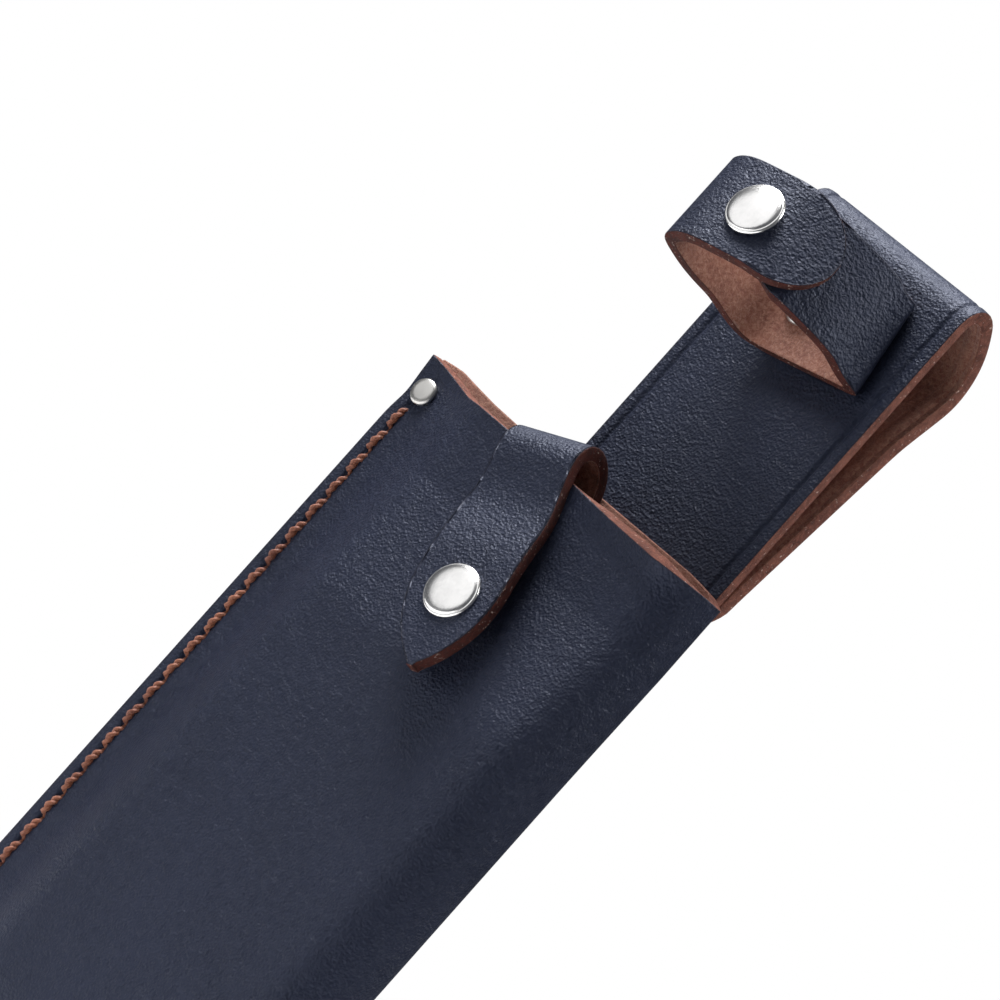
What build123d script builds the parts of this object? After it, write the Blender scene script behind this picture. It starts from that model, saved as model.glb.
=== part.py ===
"""Leather sheath for a digging knife: pocket, belt strap, guard strap, handle band and their hardware.

Millimetres. The origin is the inner top of the belt loop, where the sheath hangs from a belt.
+Z is up along the sheath, +X is to the right as seen from the front, and the front faces -Y.
Heights are written as a drop below the mouth of the pocket, or as a rise above it. Distances out
from the front face of the belt strap, towards the front, are written as n.
"""

import os
from math import atan2, cos, degrees, radians, sin, tan

from build123d import *

os.makedirs("parts", exist_ok=True)

# ---- Driving dimensions -------------------------------------------------------------------------

# Leather
leather = 2.5  # thickness of every leather piece
play = 0.3  # gap between a strap that opens and what it lies on
fit = 0.05  # gap between a post and its hole

# Pocket: one sheet folded along its right side and stitched along its left side and tip
body_w = 75.9
body_len = 205.0
fold_x = 23.8  # outer face of the fold
fold_back_r = 4.0
fold_front_r = 9.0
mouth_depth = 12.0  # front to back, at the mouth
neck_depth = 11.3
neck_drop = 14.0
belly_drop = 38.0
belly_end_drop = 120.0
front_lean = 7.0  # degrees, the front panel between the neck and the belly
stitched_w = 6.4  # flat band where the two panels lie together
slope_w = 16.0  # width of the rise from the stitched band to the belly
tip_x = 20.8  # where the seam's curve ends and the rounded tip starts
tip_flat = 7.0  # height of the flat end below the pocket
pocket_step = 0.3  # blunt edge of the pocket beside the stitched band

# Belt strap: a loop behind the pocket
strap_w = 40.0
strap_tail = 34.0  # how far both legs reach below the mouth
loop_rise = 65.0
loop_bend_r = 5.0
loop_top_turn = 132.0  # degrees, over the top of the loop
loop_slope_len = 2.7
loop_shoulder_r = 14.0
loop_belly_r = 10.0
loop_belly_lean = 18.0  # degrees, just below the deepest point of the loop
loop_taper_len = 8.0
loop_waist_r = 20.0
loop_back_lean = 9.5  # degrees, the lower back leg
loop_close_r = 40.0
leg_gap = 0.1

# Guard strap: out of the mouth, over its front edge and down to its snap
guard_w = 17.0
guard_slant = 19.0  # degrees off the sheath's axis
guard_snap_x = -6.5
guard_snap_drop = 25.6
guard_tip_len = 14.0  # from the snap to the point
guard_root_drop = 32.0
guard_bend_drop = 0.8  # centre of the bend below the mouth
guard_shoulder = 2.5  # where the point starts, above the snap

# Handle band: a ring of leather in front of the belt strap, closed by a flap
band_h = 17.8
band_rise = 47.1
band_tilt = 16.0  # degrees
band_front = 24.8
band_left = (-21.3, 20.6)
band_back_left = (-10.0, 0.0)
band_back_right = (15.1, 0.0)
band_front_right = (3.0, 18.5)
band_shoulder_x = -15.8
shoulder_r = 9.0
base_left_x = -12.0
base_right_x = 15.5
band_snap_x = -7.0
flap_bend_r = 9.0
flap_lap = 2.0  # straight end of the flap past its bend
left_fold_r = 3.6
under_arm_r = 5.0
under_arm_end_x = -15.5
arm_reach = 6.0  # how far the arms run into the belt strap before they are cut off flush
arm_cut_depth = 2.0  # below the belt strap's face, inside its leather

# Snap fastener
cap_r = 5.0
cap_rise = 1.6
cap_rim = 0.7
socket_r = 4.8
socket_h = 2.0
socket_wall = 0.6
socket_bore_r = 2.9
spring_groove_r = 3.4
spring_wire_h = 0.4
cap_tube_r = 1.6
cap_crown_at = 0.6  # of the cap's radius, where its dome is drawn through cap_crown
cap_crown = 0.72  # of the dome's rise
rolled_lip = 0.6  # how far a rolled tube end spreads
spring_lift = 0.2  # from the socket's mouth to its spring
spring_gap = 0.8  # split in the spring ring
spring_grip = 0.15  # how far the spring stands into the bore
stud_r = 4.8
stud_flange = 0.8
stud_bulb_r = 2.2
stud_bulb_h = 1.05
stud_neck_h = 0.4
stud_wall = 0.3
stud_waist_h = 0.45  # below the top of the stud, where its bulb is widest
stud_crown_h = 0.25
post_sink = 0.2  # the post is rolled over this far below the stud's flange
post_play = 0.1
post_head_r = 4.5
post_head_h = 0.8
post_tube_r = 1.2
rolled_h = 0.3

# Rivets
rivet_head_r = 3.2
rivet_head_h = 0.9
rivet_pin_r = 1.2
rivet_tube_r = 1.8
corner_head_r = 2.5
corner_head_h = 1.0
corner_pin_r = 1.0
corner_tube_r = 1.5
corner_rivet_in = 3.8  # from the stitched edge
corner_rivet_drop = 3.5
upper_rivet_drop = 14.0
lower_rivet_drop = 26.5
strap_rivet_x = 12.0
band_rivet_xs = (-3.2, 5.2)
tube_share = 0.7  # of the grip, filled by the cap's tube

# Stitching
stitch_in = 2.75  # from the edge
stitch_pitch = 5.1
stitch_len = 4.3
thread_d = 1.1
thread_h = 0.55
groove_w = 1.4
groove_depth = 0.3
first_stitch_drop = 6.9

# ---- Places worked out from them -----------------------------------------------------------------

mouth_z = leather - loop_rise
strap_y = -loop_bend_r  # front face of the belt strap
seam_x = fold_x - body_w
belly_depth = neck_depth + tan(radians(front_lean)) * (belly_drop - neck_drop)
seam_n = 2 * leather
curve_len = body_len - belly_end_drop
snap_stack = socket_h + play + stud_flange

X_AXIS = Vector(1, 0, 0)
FRONT = Vector(0, -1, 0)
UP = Vector(0, 0, 1)


def point(x, n, rise):
    """A point of the sheath from its x, its distance n to the front and its rise above the mouth."""
    return Vector(x, strap_y - n, mouth_z + rise)


def save(piece, name):
    """Label a finished piece and write its file."""
    piece.label = name
    export_step(piece, f"parts/{name}.step")


# ---- Pocket --------------------------------------------------------------------------------------

rivet_spots = [(strap_rivet_x, drop) for drop in (upper_rivet_drop, lower_rivet_drop)]
for drop in (upper_rivet_drop, lower_rivet_drop):
    rivet_spots.append((guard_snap_x - (guard_snap_drop - drop) * tan(radians(guard_slant)), drop))
panel_n = neck_depth + tan(radians(front_lean)) * (guard_snap_drop - neck_drop)

slant_axis = Axis((0, 0, 0), (0, -1, 0))
guard_side = X_AXIS.rotate(slant_axis, guard_slant)
guard_mouth_x = guard_snap_x - guard_snap_drop * tan(radians(guard_slant))
guard_profile_plane = Plane(point(guard_mouth_x, 0, 0), x_dir=FRONT, z_dir=-guard_side)
guard_face_plane = Plane(point(guard_mouth_x, 0, 0), x_dir=guard_side, z_dir=FRONT)
snap_run = guard_snap_drop / cos(radians(guard_slant))
lean = radians(front_lean)
leg_inner_n = panel_n + snap_stack / cos(lean)
leg_outer_n = leg_inner_n + leather / cos(lean)
leg_mouth_n = leg_outer_n - tan(lean) * snap_run  # the leg's outer face, carried up to the mouth
guard_bend_r = ((leg_mouth_n - leather) * cos(lean) + guard_bend_drop * sin(lean)) / (1 + cos(lean))
guard_bend_n = leather + guard_bend_r
guard_run = snap_run + guard_tip_len
guard_pivot = guard_profile_plane.from_local_coords((guard_bend_n, guard_bend_r - guard_bend_drop, 0))
split_shift = FRONT * (play / 2)
through_cut = 1.5 * leather  # a hole's drawn depth where it passes one layer
guard_snap_out = FRONT * cos(lean) + guard_profile_plane.y_dir * sin(lean)
guard_snap_spot = guard_profile_plane.from_local_coords((leg_outer_n, -snap_run, 0))
guard_snap_plane = Plane(guard_snap_spot, x_dir=guard_side, z_dir=guard_snap_out)
panel_normal = FRONT.rotate(Axis((0, 0, 0), (-1, 0, 0)), front_lean)
stud_reach = (guard_snap_spot - point(guard_snap_x, panel_n, -guard_snap_drop)).dot(panel_normal)
guard_stud_plane = Plane(guard_snap_spot - panel_normal * stud_reach, x_dir=(1, 0, 0), z_dir=panel_normal)


def front_view(n):
    """The plane of a front view, at a distance n to the front."""
    return Plane.XZ.offset(n - strap_y)


def pocket_block(wall, left, low, rise, bottom):
    """The pocket's outer form, or its hollow when it is drawn a wall's thickness inside."""
    with BuildPart() as block:
        with BuildSketch(front_view(wall)):
            with BuildLine():
                Polyline((left, mouth_z - belly_end_drop), (left, mouth_z + 1), (fold_x + 1, mouth_z + 1),
                         (fold_x + 1, mouth_z - bottom), (tip_x, mouth_z - bottom))
                EllipticalCenterArc((tip_x, mouth_z - belly_end_drop), tip_x - left,
                                    bottom - belly_end_drop, start_angle=180, arc_size=90)
            make_face()
        extrude(amount=belly_depth - 2 * wall)
        front_face = block.faces().sort_by(Axis.Y)[0]
        slope_edges = [edge for edge in front_face.edges()
                       if edge.center().X < fold_x and edge.center().Z < mouth_z]
        chamfer(slope_edges, length=slope_w, length2=rise, reference=front_face)
        with BuildSketch(Plane.YZ):
            with BuildLine():
                Polyline(*[(strap_y - n, mouth_z - drop) for n, drop in (
                    (wall, -1), (mouth_depth - wall, -1), (mouth_depth - wall, 0),
                    (neck_depth - wall, neck_drop),
                    (belly_depth - wall, belly_drop), (belly_depth - wall, belly_end_drop),
                    (low, body_len - tip_flat), (low, body_len), (wall, body_len))], close=True)
            make_face()
        extrude(amount=2 * body_w, both=True, mode=Mode.INTERSECT)
        with BuildSketch(Plane.XY.offset(mouth_z)):
            with BuildLine():
                FilletPolyline((left - 1, strap_y - wall), (fold_x - wall, strap_y - wall),
                               (fold_x - wall, strap_y - belly_depth + wall),
                               (left - 1, strap_y - belly_depth + wall),
                               radius=[fold_back_r - wall, fold_front_r - wall])
                Line((left - 1, strap_y - wall), (left - 1, strap_y - belly_depth + wall))
            make_face()
        extrude(amount=2 * body_len, both=True, mode=Mode.INTERSECT)
    return block.part


outer_form = pocket_block(0, seam_x + stitched_w, seam_n, belly_depth - seam_n, body_len - stitched_w)
hollow_form = pocket_block(leather, seam_x + stitched_w, leather + pocket_step,
                           belly_depth - 2 * leather - pocket_step, body_len - stitched_w)


def seam_route(top_drop, inset):
    """The stitched edge from a drop below the mouth round to the tip, drawn inset."""
    Line((seam_x + inset, mouth_z - top_drop), (seam_x + inset, mouth_z - belly_end_drop))
    EllipticalCenterArc((tip_x, mouth_z - belly_end_drop), tip_x - seam_x - inset, curve_len - inset,
                        start_angle=180, arc_size=90)


with BuildLine(Plane.XZ) as stitch_line:
    seam_route(first_stitch_drop, stitch_in)
stitch_wire = stitch_line.wire()
stitch_count = int(stitch_wire.length / stitch_pitch)

with BuildPart() as sheath_body:
    tip_r = fold_x - tip_x
    with BuildSketch(front_view(0)) as outline:
        with BuildLine():
            seam_route(0, 0)
            Polyline((seam_x, mouth_z), (fold_x, mouth_z), (fold_x, mouth_z - body_len + tip_r))
            CenterArc((tip_x, mouth_z - body_len + tip_r), tip_r, -90, 90)
        make_face()
    extrude(amount=seam_n)
    with BuildSketch(Plane.XY.offset(mouth_z)):
        with BuildLine():
            FilletPolyline((seam_x - 1, strap_y), (fold_x, strap_y), (fold_x, strap_y - belly_depth),
                           (seam_x - 1, strap_y - belly_depth), radius=[fold_back_r, fold_front_r])
            Line((seam_x - 1, strap_y), (seam_x - 1, strap_y - belly_depth))
        make_face()
    extrude(amount=2 * body_len, both=True, mode=Mode.INTERSECT)
    add(outer_form)
    extrude(outline.sketch, amount=belly_depth, mode=Mode.INTERSECT)
    add(hollow_form, mode=Mode.SUBTRACT)
    for groove_n, inward in ((seam_n, -1), (0, 1)):
        with BuildSketch(front_view(groove_n)):
            with BuildLine():
                near, far = stitch_in - groove_w / 2, stitch_in + groove_w / 2
                seam_route(first_stitch_drop, near)
                seam_route(first_stitch_drop, far)
                top_z = mouth_z - first_stitch_drop
                Line((seam_x + near, top_z), (seam_x + far, top_z))
                Line((tip_x, mouth_z - body_len + near), (tip_x, mouth_z - body_len + far))
            make_face()
        extrude(amount=inward * groove_depth, mode=Mode.SUBTRACT)
    with BuildSketch(front_view(0)):
        with Locations(*[(x, mouth_z - drop) for x, drop in rivet_spots]):
            Circle(rivet_tube_r + fit)
    extrude(amount=leather, mode=Mode.SUBTRACT)
    corner_spot = (seam_x + corner_rivet_in, mouth_z - corner_rivet_drop)
    with BuildSketch(front_view(0)):
        with Locations(corner_spot):
            Circle(corner_tube_r + fit)
    extrude(amount=seam_n, mode=Mode.SUBTRACT)
    with BuildSketch(guard_stud_plane):
        Circle(post_tube_r + fit)
    extrude(amount=-through_cut, mode=Mode.SUBTRACT)
    with BuildSketch(guard_profile_plane):
        with Locations((guard_bend_n, -guard_bend_drop)):
            Circle(guard_bend_r)
            Circle(guard_bend_r - leather - play, mode=Mode.SUBTRACT)
            Rectangle(guard_bend_r, 2 * guard_bend_r, align=(Align.MAX, Align.CENTER), mode=Mode.SUBTRACT)
    extrude(amount=guard_w / 2 + play, both=True, mode=Mode.SUBTRACT)
save(sheath_body.part, "sheath_body")

# ---- Stitching -----------------------------------------------------------------------------------

for name, floor_n, outward in (
    ("seam_thread_front", seam_n - groove_depth, FRONT),
    ("seam_thread_back", groove_depth, -FRONT),
):
    with BuildPart() as thread:
        for i in range(stitch_count):
            along = (i + 0.5) * stitch_pitch / stitch_wire.length
            spot = stitch_wire @ along
            place = Plane((spot.X, strap_y - floor_n, spot.Z), x_dir=stitch_wire % along, z_dir=outward)
            with BuildSketch(place):
                SlotOverall(stitch_len, thread_d)
        extrude(amount=thread_h)
    save(thread.part, name)

# ---- Belt strap ----------------------------------------------------------------------------------

band_axis = Axis((0, 0, 0), (0.8, 0.6, 0))
band_x = X_AXIS.rotate(band_axis, -band_tilt)
band_out = FRONT.rotate(band_axis, -band_tilt)
band_up = UP.rotate(band_axis, -band_tilt)
band_middle = point(0, 0, band_rise)
base_turn = degrees(atan2(band_x.Z, band_x.X))
base_x = X_AXIS.rotate(Axis((0, 0, 0), (0, -1, 0)), base_turn)
band_rivet_places = [Plane(band_middle + base_x * x, x_dir=base_x, z_dir=FRONT) for x in band_rivet_xs]

with BuildPart() as belt_strap:
    with BuildSketch(Plane.YZ):
        with BuildLine():
            front_leg = Line((strap_y, mouth_z - strap_tail), (strap_y, leather - loop_bend_r))
            over = JernArc(front_leg @ 1, front_leg % 1, loop_bend_r, -loop_top_turn)
            slope = Line(over @ 1, over @ 1 + (over % 1) * loop_slope_len)
            shoulder = JernArc(slope @ 1, slope % 1, loop_shoulder_r, loop_top_turn - 180)
            belly = JernArc(shoulder @ 1, shoulder % 1, loop_belly_r, -loop_belly_lean)
            taper = Line(belly @ 1, belly @ 1 + (belly % 1) * loop_taper_len)
            waist = JernArc(taper @ 1, taper % 1, loop_waist_r, loop_belly_lean - loop_back_lean)
            contact_y = strap_y + 2 * leather + leg_gap
            turn_y = loop_close_r * (1 - cos(radians(loop_back_lean)))
            lower_len = ((waist @ 1).X - contact_y - turn_y) / sin(radians(loop_back_lean))
            lower = Line(waist @ 1, waist @ 1 + (waist % 1) * lower_len)
            close_up = JernArc(lower @ 1, lower % 1, loop_close_r, loop_back_lean)
            Line(close_up @ 1, (contact_y, mouth_z - strap_tail))
            offset(amount=-leather, side=Side.RIGHT, closed=True, mode=Mode.ADD)
        make_face()
    extrude(amount=strap_w / 2, both=True)
    with BuildSketch(front_view(0)):
        with Locations(*[(x, mouth_z - drop) for x, drop in rivet_spots]):
            Circle(rivet_tube_r + fit)
    extrude(amount=-3 * leather, mode=Mode.SUBTRACT)
    for place in band_rivet_places:
        with BuildSketch(place):
            Circle(rivet_tube_r + fit)
        extrude(amount=-through_cut, mode=Mode.SUBTRACT)
save(belt_strap.part, "belt_strap")

# ---- Guard strap ---------------------------------------------------------------------------------

def guard_strip():
    """The guard strap's side view: its root, its bend over the mouth and its front leg."""
    Line((leather, -guard_root_drop), (leather, -guard_bend_drop))
    bend = CenterArc((guard_bend_n, -guard_bend_drop), guard_bend_r, 180, front_lean - 180)
    leg_len = (guard_run - guard_bend_drop) / cos(lean) + guard_bend_r * tan(lean)
    Line(bend @ 1, bend @ 1 + (bend % 1) * leg_len)
    offset(amount=-leather, side=Side.RIGHT, closed=True, mode=Mode.ADD)


with BuildPart() as guard_strap_root:
    with BuildSketch(guard_profile_plane):
        with BuildLine():
            guard_strip()
        make_face()
    extrude(amount=guard_w / 2, both=True)
    split(bisect_by=Plane(guard_pivot - split_shift, z_dir=FRONT), keep=Keep.BOTTOM)
    with BuildSketch(front_view(0)):
        with Locations(*[(x, mouth_z - drop) for x, drop in rivet_spots]):
            Circle(rivet_tube_r + fit)
    extrude(amount=3 * leather, mode=Mode.SUBTRACT)
save(guard_strap_root.part, "guard_strap_root")

with BuildPart() as guard_strap_flap:
    with BuildSketch(guard_profile_plane):
        with BuildLine():
            guard_strip()
        make_face()
    extrude(amount=guard_w / 2, both=True)
    split(bisect_by=Plane(guard_pivot + split_shift, z_dir=FRONT), keep=Keep.TOP)
    with BuildSketch(guard_face_plane):
        with BuildLine():
            half_w = guard_w / 2
            point_run = guard_shoulder - snap_run
            Polyline((-half_w, point_run), (-half_w, half_w), (half_w, half_w), (half_w, point_run))
            TangentArc((half_w, point_run), (0, -guard_run), tangent=(0, -1))
            TangentArc((-half_w, point_run), (0, -guard_run), tangent=(0, -1))
        make_face()
    extrude(amount=2 * guard_run, both=True, mode=Mode.INTERSECT)
    with BuildSketch(guard_snap_plane):
        Circle(cap_tube_r + fit)
    extrude(amount=-through_cut, mode=Mode.SUBTRACT)
save(guard_strap_flap.part, "guard_strap_flap")

# ---- Handle band ---------------------------------------------------------------------------------

ring_plane = Plane(band_middle, x_dir=band_x, z_dir=band_up)


def ring_point(x, n):
    """A point of the band's cross-section, n out to the front."""
    return (x, -n)


# The right side of the ring is one straight line, and the flap's bend lies just above it
right_foot = Vector(*band_back_right)
right_top = Vector(*band_front_right)
right_dir = (right_foot - right_top).normalized()
right_out = Vector(-right_dir.Y, right_dir.X)
under_n = band_front - leather - snap_stack


def along_right(n, out):
    """Where a line parallel to the ring's right side, moved out, crosses a height n."""
    start = right_top + right_out * out
    return start + right_dir * ((n - start.Y) / right_dir.Y)


flap_corner = along_right(band_front, leather + play)
bend_turn = radians(right_dir.get_angle(Vector(1, 0)))
flap_end = flap_corner + right_dir * (flap_bend_r * tan(bend_turn / 2) + flap_lap)
under_corner = along_right(under_n, 0)
left_top = Vector(*band_left)
left_foot = Vector(*band_back_left)
shoulder = Vector(band_shoulder_x, band_front)
into_left = (left_foot - left_top).normalized()
into_front = (shoulder - left_top).normalized()
fold_cut = (into_left + into_front).normalized()
fold_half = radians(into_left.get_angle(into_front)) / 2
fold_tip = left_top + fold_cut * (left_fold_r / sin(fold_half) - left_fold_r)
cut_across = Vector(-fold_cut.Y, fold_cut.X)
if cut_across.dot(into_front) < 0:
    cut_across = -cut_across


def world(spot):
    """A point of the band's cross-section in the sheath's own axes."""
    return band_middle + band_x * spot.X + band_out * spot.Y


def direction(spot):
    """A direction in the band's cross-section in the sheath's own axes."""
    return band_x * spot.X + band_out * spot.Y


flap_cut_plane = Plane(world(fold_tip + cut_across * (play / 2)), z_dir=direction(cut_across))
base_cut_plane = Plane(world(fold_tip - cut_across * (play / 2)), z_dir=direction(cut_across))

with BuildPart() as handle_band:
    with BuildSketch(ring_plane):
        with BuildLine():
            left_end = left_foot + into_left * arm_reach
            FilletPolyline(ring_point(left_end.X, left_end.Y), ring_point(left_top.X, left_top.Y),
                           ring_point(shoulder.X, shoulder.Y), radius=left_fold_r)
            offset(amount=-leather, side=Side.LEFT, closed=True, mode=Mode.ADD)
        make_face()
    extrude(amount=band_h / 2, both=True)
    split(bisect_by=base_cut_plane, keep=Keep.BOTTOM)
    with BuildSketch(ring_plane):
        with BuildLine():
            right_end = right_foot + right_dir * arm_reach
            FilletPolyline(ring_point(right_end.X, right_end.Y), ring_point(under_corner.X, under_corner.Y),
                           ring_point(under_arm_end_x, under_n), radius=under_arm_r)
            offset(amount=-leather, side=Side.RIGHT, closed=True, mode=Mode.ADD)
        make_face()
    extrude(amount=band_h / 2, both=True)
    split(bisect_by=Plane(point(0, arm_cut_depth, 0), z_dir=FRONT), keep=Keep.TOP)
    with BuildSketch(Plane(band_middle, x_dir=base_x, z_dir=FRONT)):
        with Locations(((base_left_x + base_right_x) / 2, 0)):
            Rectangle(base_right_x - base_left_x, band_h)
    extrude(amount=leather)
    for place in band_rivet_places:
        with BuildSketch(place):
            Circle(rivet_tube_r + fit)
        extrude(amount=leather, mode=Mode.SUBTRACT)
    under_snap_plane = Plane(world(Vector(band_snap_x, under_n)), x_dir=band_x, z_dir=band_out)
    with BuildSketch(under_snap_plane):
        Circle(post_tube_r + fit)
    extrude(amount=-leather, mode=Mode.SUBTRACT)
save(handle_band.part, "handle_band")

with BuildPart() as handle_band_flap:
    with BuildSketch(ring_plane):
        with BuildLine():
            FilletPolyline(ring_point(left_foot.X, left_foot.Y), ring_point(left_top.X, left_top.Y),
                           ring_point(shoulder.X, shoulder.Y), ring_point(flap_corner.X, flap_corner.Y),
                           ring_point(flap_end.X, flap_end.Y), radius=[left_fold_r, shoulder_r, flap_bend_r])
            offset(amount=-leather, side=Side.LEFT, closed=True, mode=Mode.ADD)
        make_face()
    extrude(amount=band_h / 2, both=True)
    split(bisect_by=flap_cut_plane, keep=Keep.TOP)
    with BuildSketch(Plane(band_middle, x_dir=band_x, z_dir=band_out)):
        round_x = flap_end.X - band_h / 2
        with Locations((round_x, 0)):
            Circle(band_h / 2)
        with Locations((round_x - band_h, 0)):
            Rectangle(2 * band_h, band_h)
    extrude(amount=2 * band_front, mode=Mode.INTERSECT)
    band_snap_plane = Plane(world(Vector(band_snap_x, band_front)), x_dir=band_x, z_dir=band_out)
    with BuildSketch(band_snap_plane):
        Circle(cap_tube_r + fit)
    extrude(amount=-leather, mode=Mode.SUBTRACT)
save(handle_band_flap.part, "handle_band_flap")

# ---- Snap fasteners ------------------------------------------------------------------------------


def turned(place, outline):
    """A turned piece: its outline holds (radius, height) points, and it is spun about the place's z axis."""
    with BuildPart() as piece:
        with BuildSketch(Plane(place.origin, x_dir=place.x_dir, z_dir=-place.y_dir)):
            with BuildLine():
                Polyline(*outline, close=True)
            make_face()
        revolve(axis=Axis(place.origin, place.z_dir))
    return piece


def domed_cap(place, head_r, rim, rise, tube_r, tube_len, rolled_r):
    """A domed head on a tube that is rolled over at its end."""
    with BuildPart() as piece:
        with BuildSketch(Plane(place.origin, x_dir=place.x_dir, z_dir=-place.y_dir)):
            with BuildLine():
                crown = (cap_crown_at * head_r, rim + cap_crown * (rise - rim))
                ThreePointArc((0, rise), crown, (head_r, rim))
                Polyline((head_r, rim), (head_r, 0), (tube_r, 0), (tube_r, -tube_len), (rolled_r, -tube_len),
                         (rolled_r, -tube_len - rolled_h), (0, -tube_len - rolled_h), (0, rise))
            make_face()
        revolve(axis=Axis(place.origin, place.z_dir))
    return piece


def snap_fastener(prefix, flap_plane, panel_plane):
    """The five pieces of one snap, from its cap on the flap down to its post behind the leather."""
    cap_rolled_r = cap_tube_r + rolled_lip
    cap = domed_cap(flap_plane, cap_r, cap_rim, cap_rise, cap_tube_r, leather + socket_wall, cap_rolled_r)
    save(cap.part, f"{prefix}_snap_cap")

    top, bottom = -leather, -leather - socket_h
    groove_low = bottom + spring_lift
    groove_high = groove_low + spring_wire_h
    bore_r = cap_tube_r + fit
    socket = turned(flap_plane, [
        (bore_r, top), (socket_r, top), (socket_r, bottom), (socket_bore_r, bottom),
        (socket_bore_r, groove_low), (spring_groove_r, groove_low), (spring_groove_r, groove_high),
        (socket_bore_r, groove_high), (socket_bore_r, top - socket_wall), (bore_r, top - socket_wall)])
    save(socket.part, f"{prefix}_snap_socket")

    with BuildPart() as spring:
        with BuildSketch(flap_plane.offset(groove_low)):
            Circle(spring_groove_r - fit)
            Circle(socket_bore_r - spring_grip, mode=Mode.SUBTRACT)
            with Locations((spring_groove_r, 0)):
                Rectangle(spring_groove_r, spring_gap, mode=Mode.SUBTRACT)
        extrude(amount=spring_wire_h)
    save(spring.part, f"{prefix}_snap_spring")

    stud_top = stud_flange + stud_bulb_h
    neck_r = stud_bulb_r - stud_wall
    hollow_r = neck_r - stud_wall
    rolled_at = stud_flange - post_sink
    hole_r = post_tube_r + fit
    stud = turned(panel_plane, [
        (hole_r, 0), (stud_r, 0), (stud_r, stud_flange), (neck_r, stud_flange),
        (neck_r, stud_flange + stud_neck_h), (stud_bulb_r, stud_top - stud_waist_h),
        (stud_bulb_r, stud_top - stud_crown_h), (neck_r, stud_top), (0, stud_top),
        (0, stud_top - rolled_h), (hollow_r, stud_top - rolled_h), (hollow_r, rolled_at),
        (hole_r, rolled_at)])
    save(stud.part, f"{prefix}_snap_stud")

    post = turned(panel_plane, [
        (0, -leather - post_head_h), (post_head_r, -leather - post_head_h), (post_head_r, -leather),
        (post_tube_r, -leather), (post_tube_r, rolled_at), (hollow_r - post_play, rolled_at),
        (hollow_r - post_play, rolled_at + rolled_h), (0, rolled_at + rolled_h)])
    save(post.part, f"{prefix}_snap_post")


snap_fastener("guard", guard_snap_plane, guard_stud_plane)
snap_fastener("band", band_snap_plane, under_snap_plane)

# ---- Rivets --------------------------------------------------------------------------------------


def rivet(name, places, grip, head_r, head_h, pin_r, tube_r):
    """Two-piece rivets: tubular caps from the front, and posts pushed into them from behind."""
    with BuildPart() as caps:
        for place in places:
            with BuildSketch(place.offset(-tube_share * grip)):
                Circle(tube_r)
                Circle(pin_r, mode=Mode.SUBTRACT)
            extrude(amount=tube_share * grip)
            with BuildSketch(place):
                Circle(head_r)
            extrude(amount=head_h)
    save(caps.part, f"{name}_caps")
    with BuildPart() as posts:
        for place in places:
            with BuildSketch(place.offset(-grip - head_h)):
                Circle(head_r)
            extrude(amount=head_h)
            with BuildSketch(place.offset(-grip)):
                Circle(pin_r)
            extrude(amount=grip)
    save(posts.part, f"{name}_posts")


leg_pair = 2 * leather + leg_gap
upright = dict(x_dir=(1, 0, 0), z_dir=FRONT)
strap_places = [Plane(point(x, leather, -drop), **upright) for x, drop in rivet_spots[:2]]
root_places = [Plane(point(x, 2 * leather, -drop), **upright) for x, drop in rivet_spots[2:]]
rivet_size = (rivet_head_r, rivet_head_h, rivet_pin_r, rivet_tube_r)
rivet("strap_rivet", strap_places, leather + leg_pair, *rivet_size)
rivet("guard_rivet", root_places, 2 * leather + leg_pair, *rivet_size)
band_places = [place.offset(leather) for place in band_rivet_places]
rivet("band_rivet", band_places, 2 * leather, *rivet_size)
corner_place = Plane(point(seam_x + corner_rivet_in, seam_n, -corner_rivet_drop), **upright)
rivet("corner_rivet", [corner_place], seam_n, corner_head_r, corner_head_h, corner_pin_r, corner_tube_r)
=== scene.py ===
"""Looks of a leather sheath for a digging knife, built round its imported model.

Shapes are worked out in millimetres and written to the meshes in metres. As in the model, n is the
distance out from the front face of the belt strap, and a drop is measured down from the mouth.
"""

import random
from bisect import bisect_right
from math import atan2, cos, degrees, exp, hypot, pi, radians, sin, sqrt, tan

import bmesh
import bpy
from mathutils import Matrix, Vector
from mathutils.kdtree import KDTree


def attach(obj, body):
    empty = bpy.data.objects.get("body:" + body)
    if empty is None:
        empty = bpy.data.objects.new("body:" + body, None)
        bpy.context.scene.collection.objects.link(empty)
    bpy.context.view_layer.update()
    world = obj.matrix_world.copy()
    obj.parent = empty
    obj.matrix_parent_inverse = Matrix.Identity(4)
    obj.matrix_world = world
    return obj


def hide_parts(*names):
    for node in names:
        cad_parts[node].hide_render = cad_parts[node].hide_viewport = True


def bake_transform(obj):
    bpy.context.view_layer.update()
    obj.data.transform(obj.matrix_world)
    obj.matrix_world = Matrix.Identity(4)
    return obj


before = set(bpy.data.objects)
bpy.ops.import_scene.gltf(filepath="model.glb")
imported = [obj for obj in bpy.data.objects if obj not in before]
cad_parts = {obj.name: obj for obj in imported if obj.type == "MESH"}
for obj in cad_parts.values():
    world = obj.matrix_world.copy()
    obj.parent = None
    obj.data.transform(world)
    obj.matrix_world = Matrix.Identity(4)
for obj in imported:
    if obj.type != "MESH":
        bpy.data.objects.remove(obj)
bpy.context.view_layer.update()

# ---- Sizes, in millimetres -----------------------------------------------------------------------

mm = 0.001
leather = 2.5
sheet_thickness = 2.42  # leaves a fine slit where two layers are stitched together
strap_y = -5.0
mouth_z = -62.5

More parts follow.
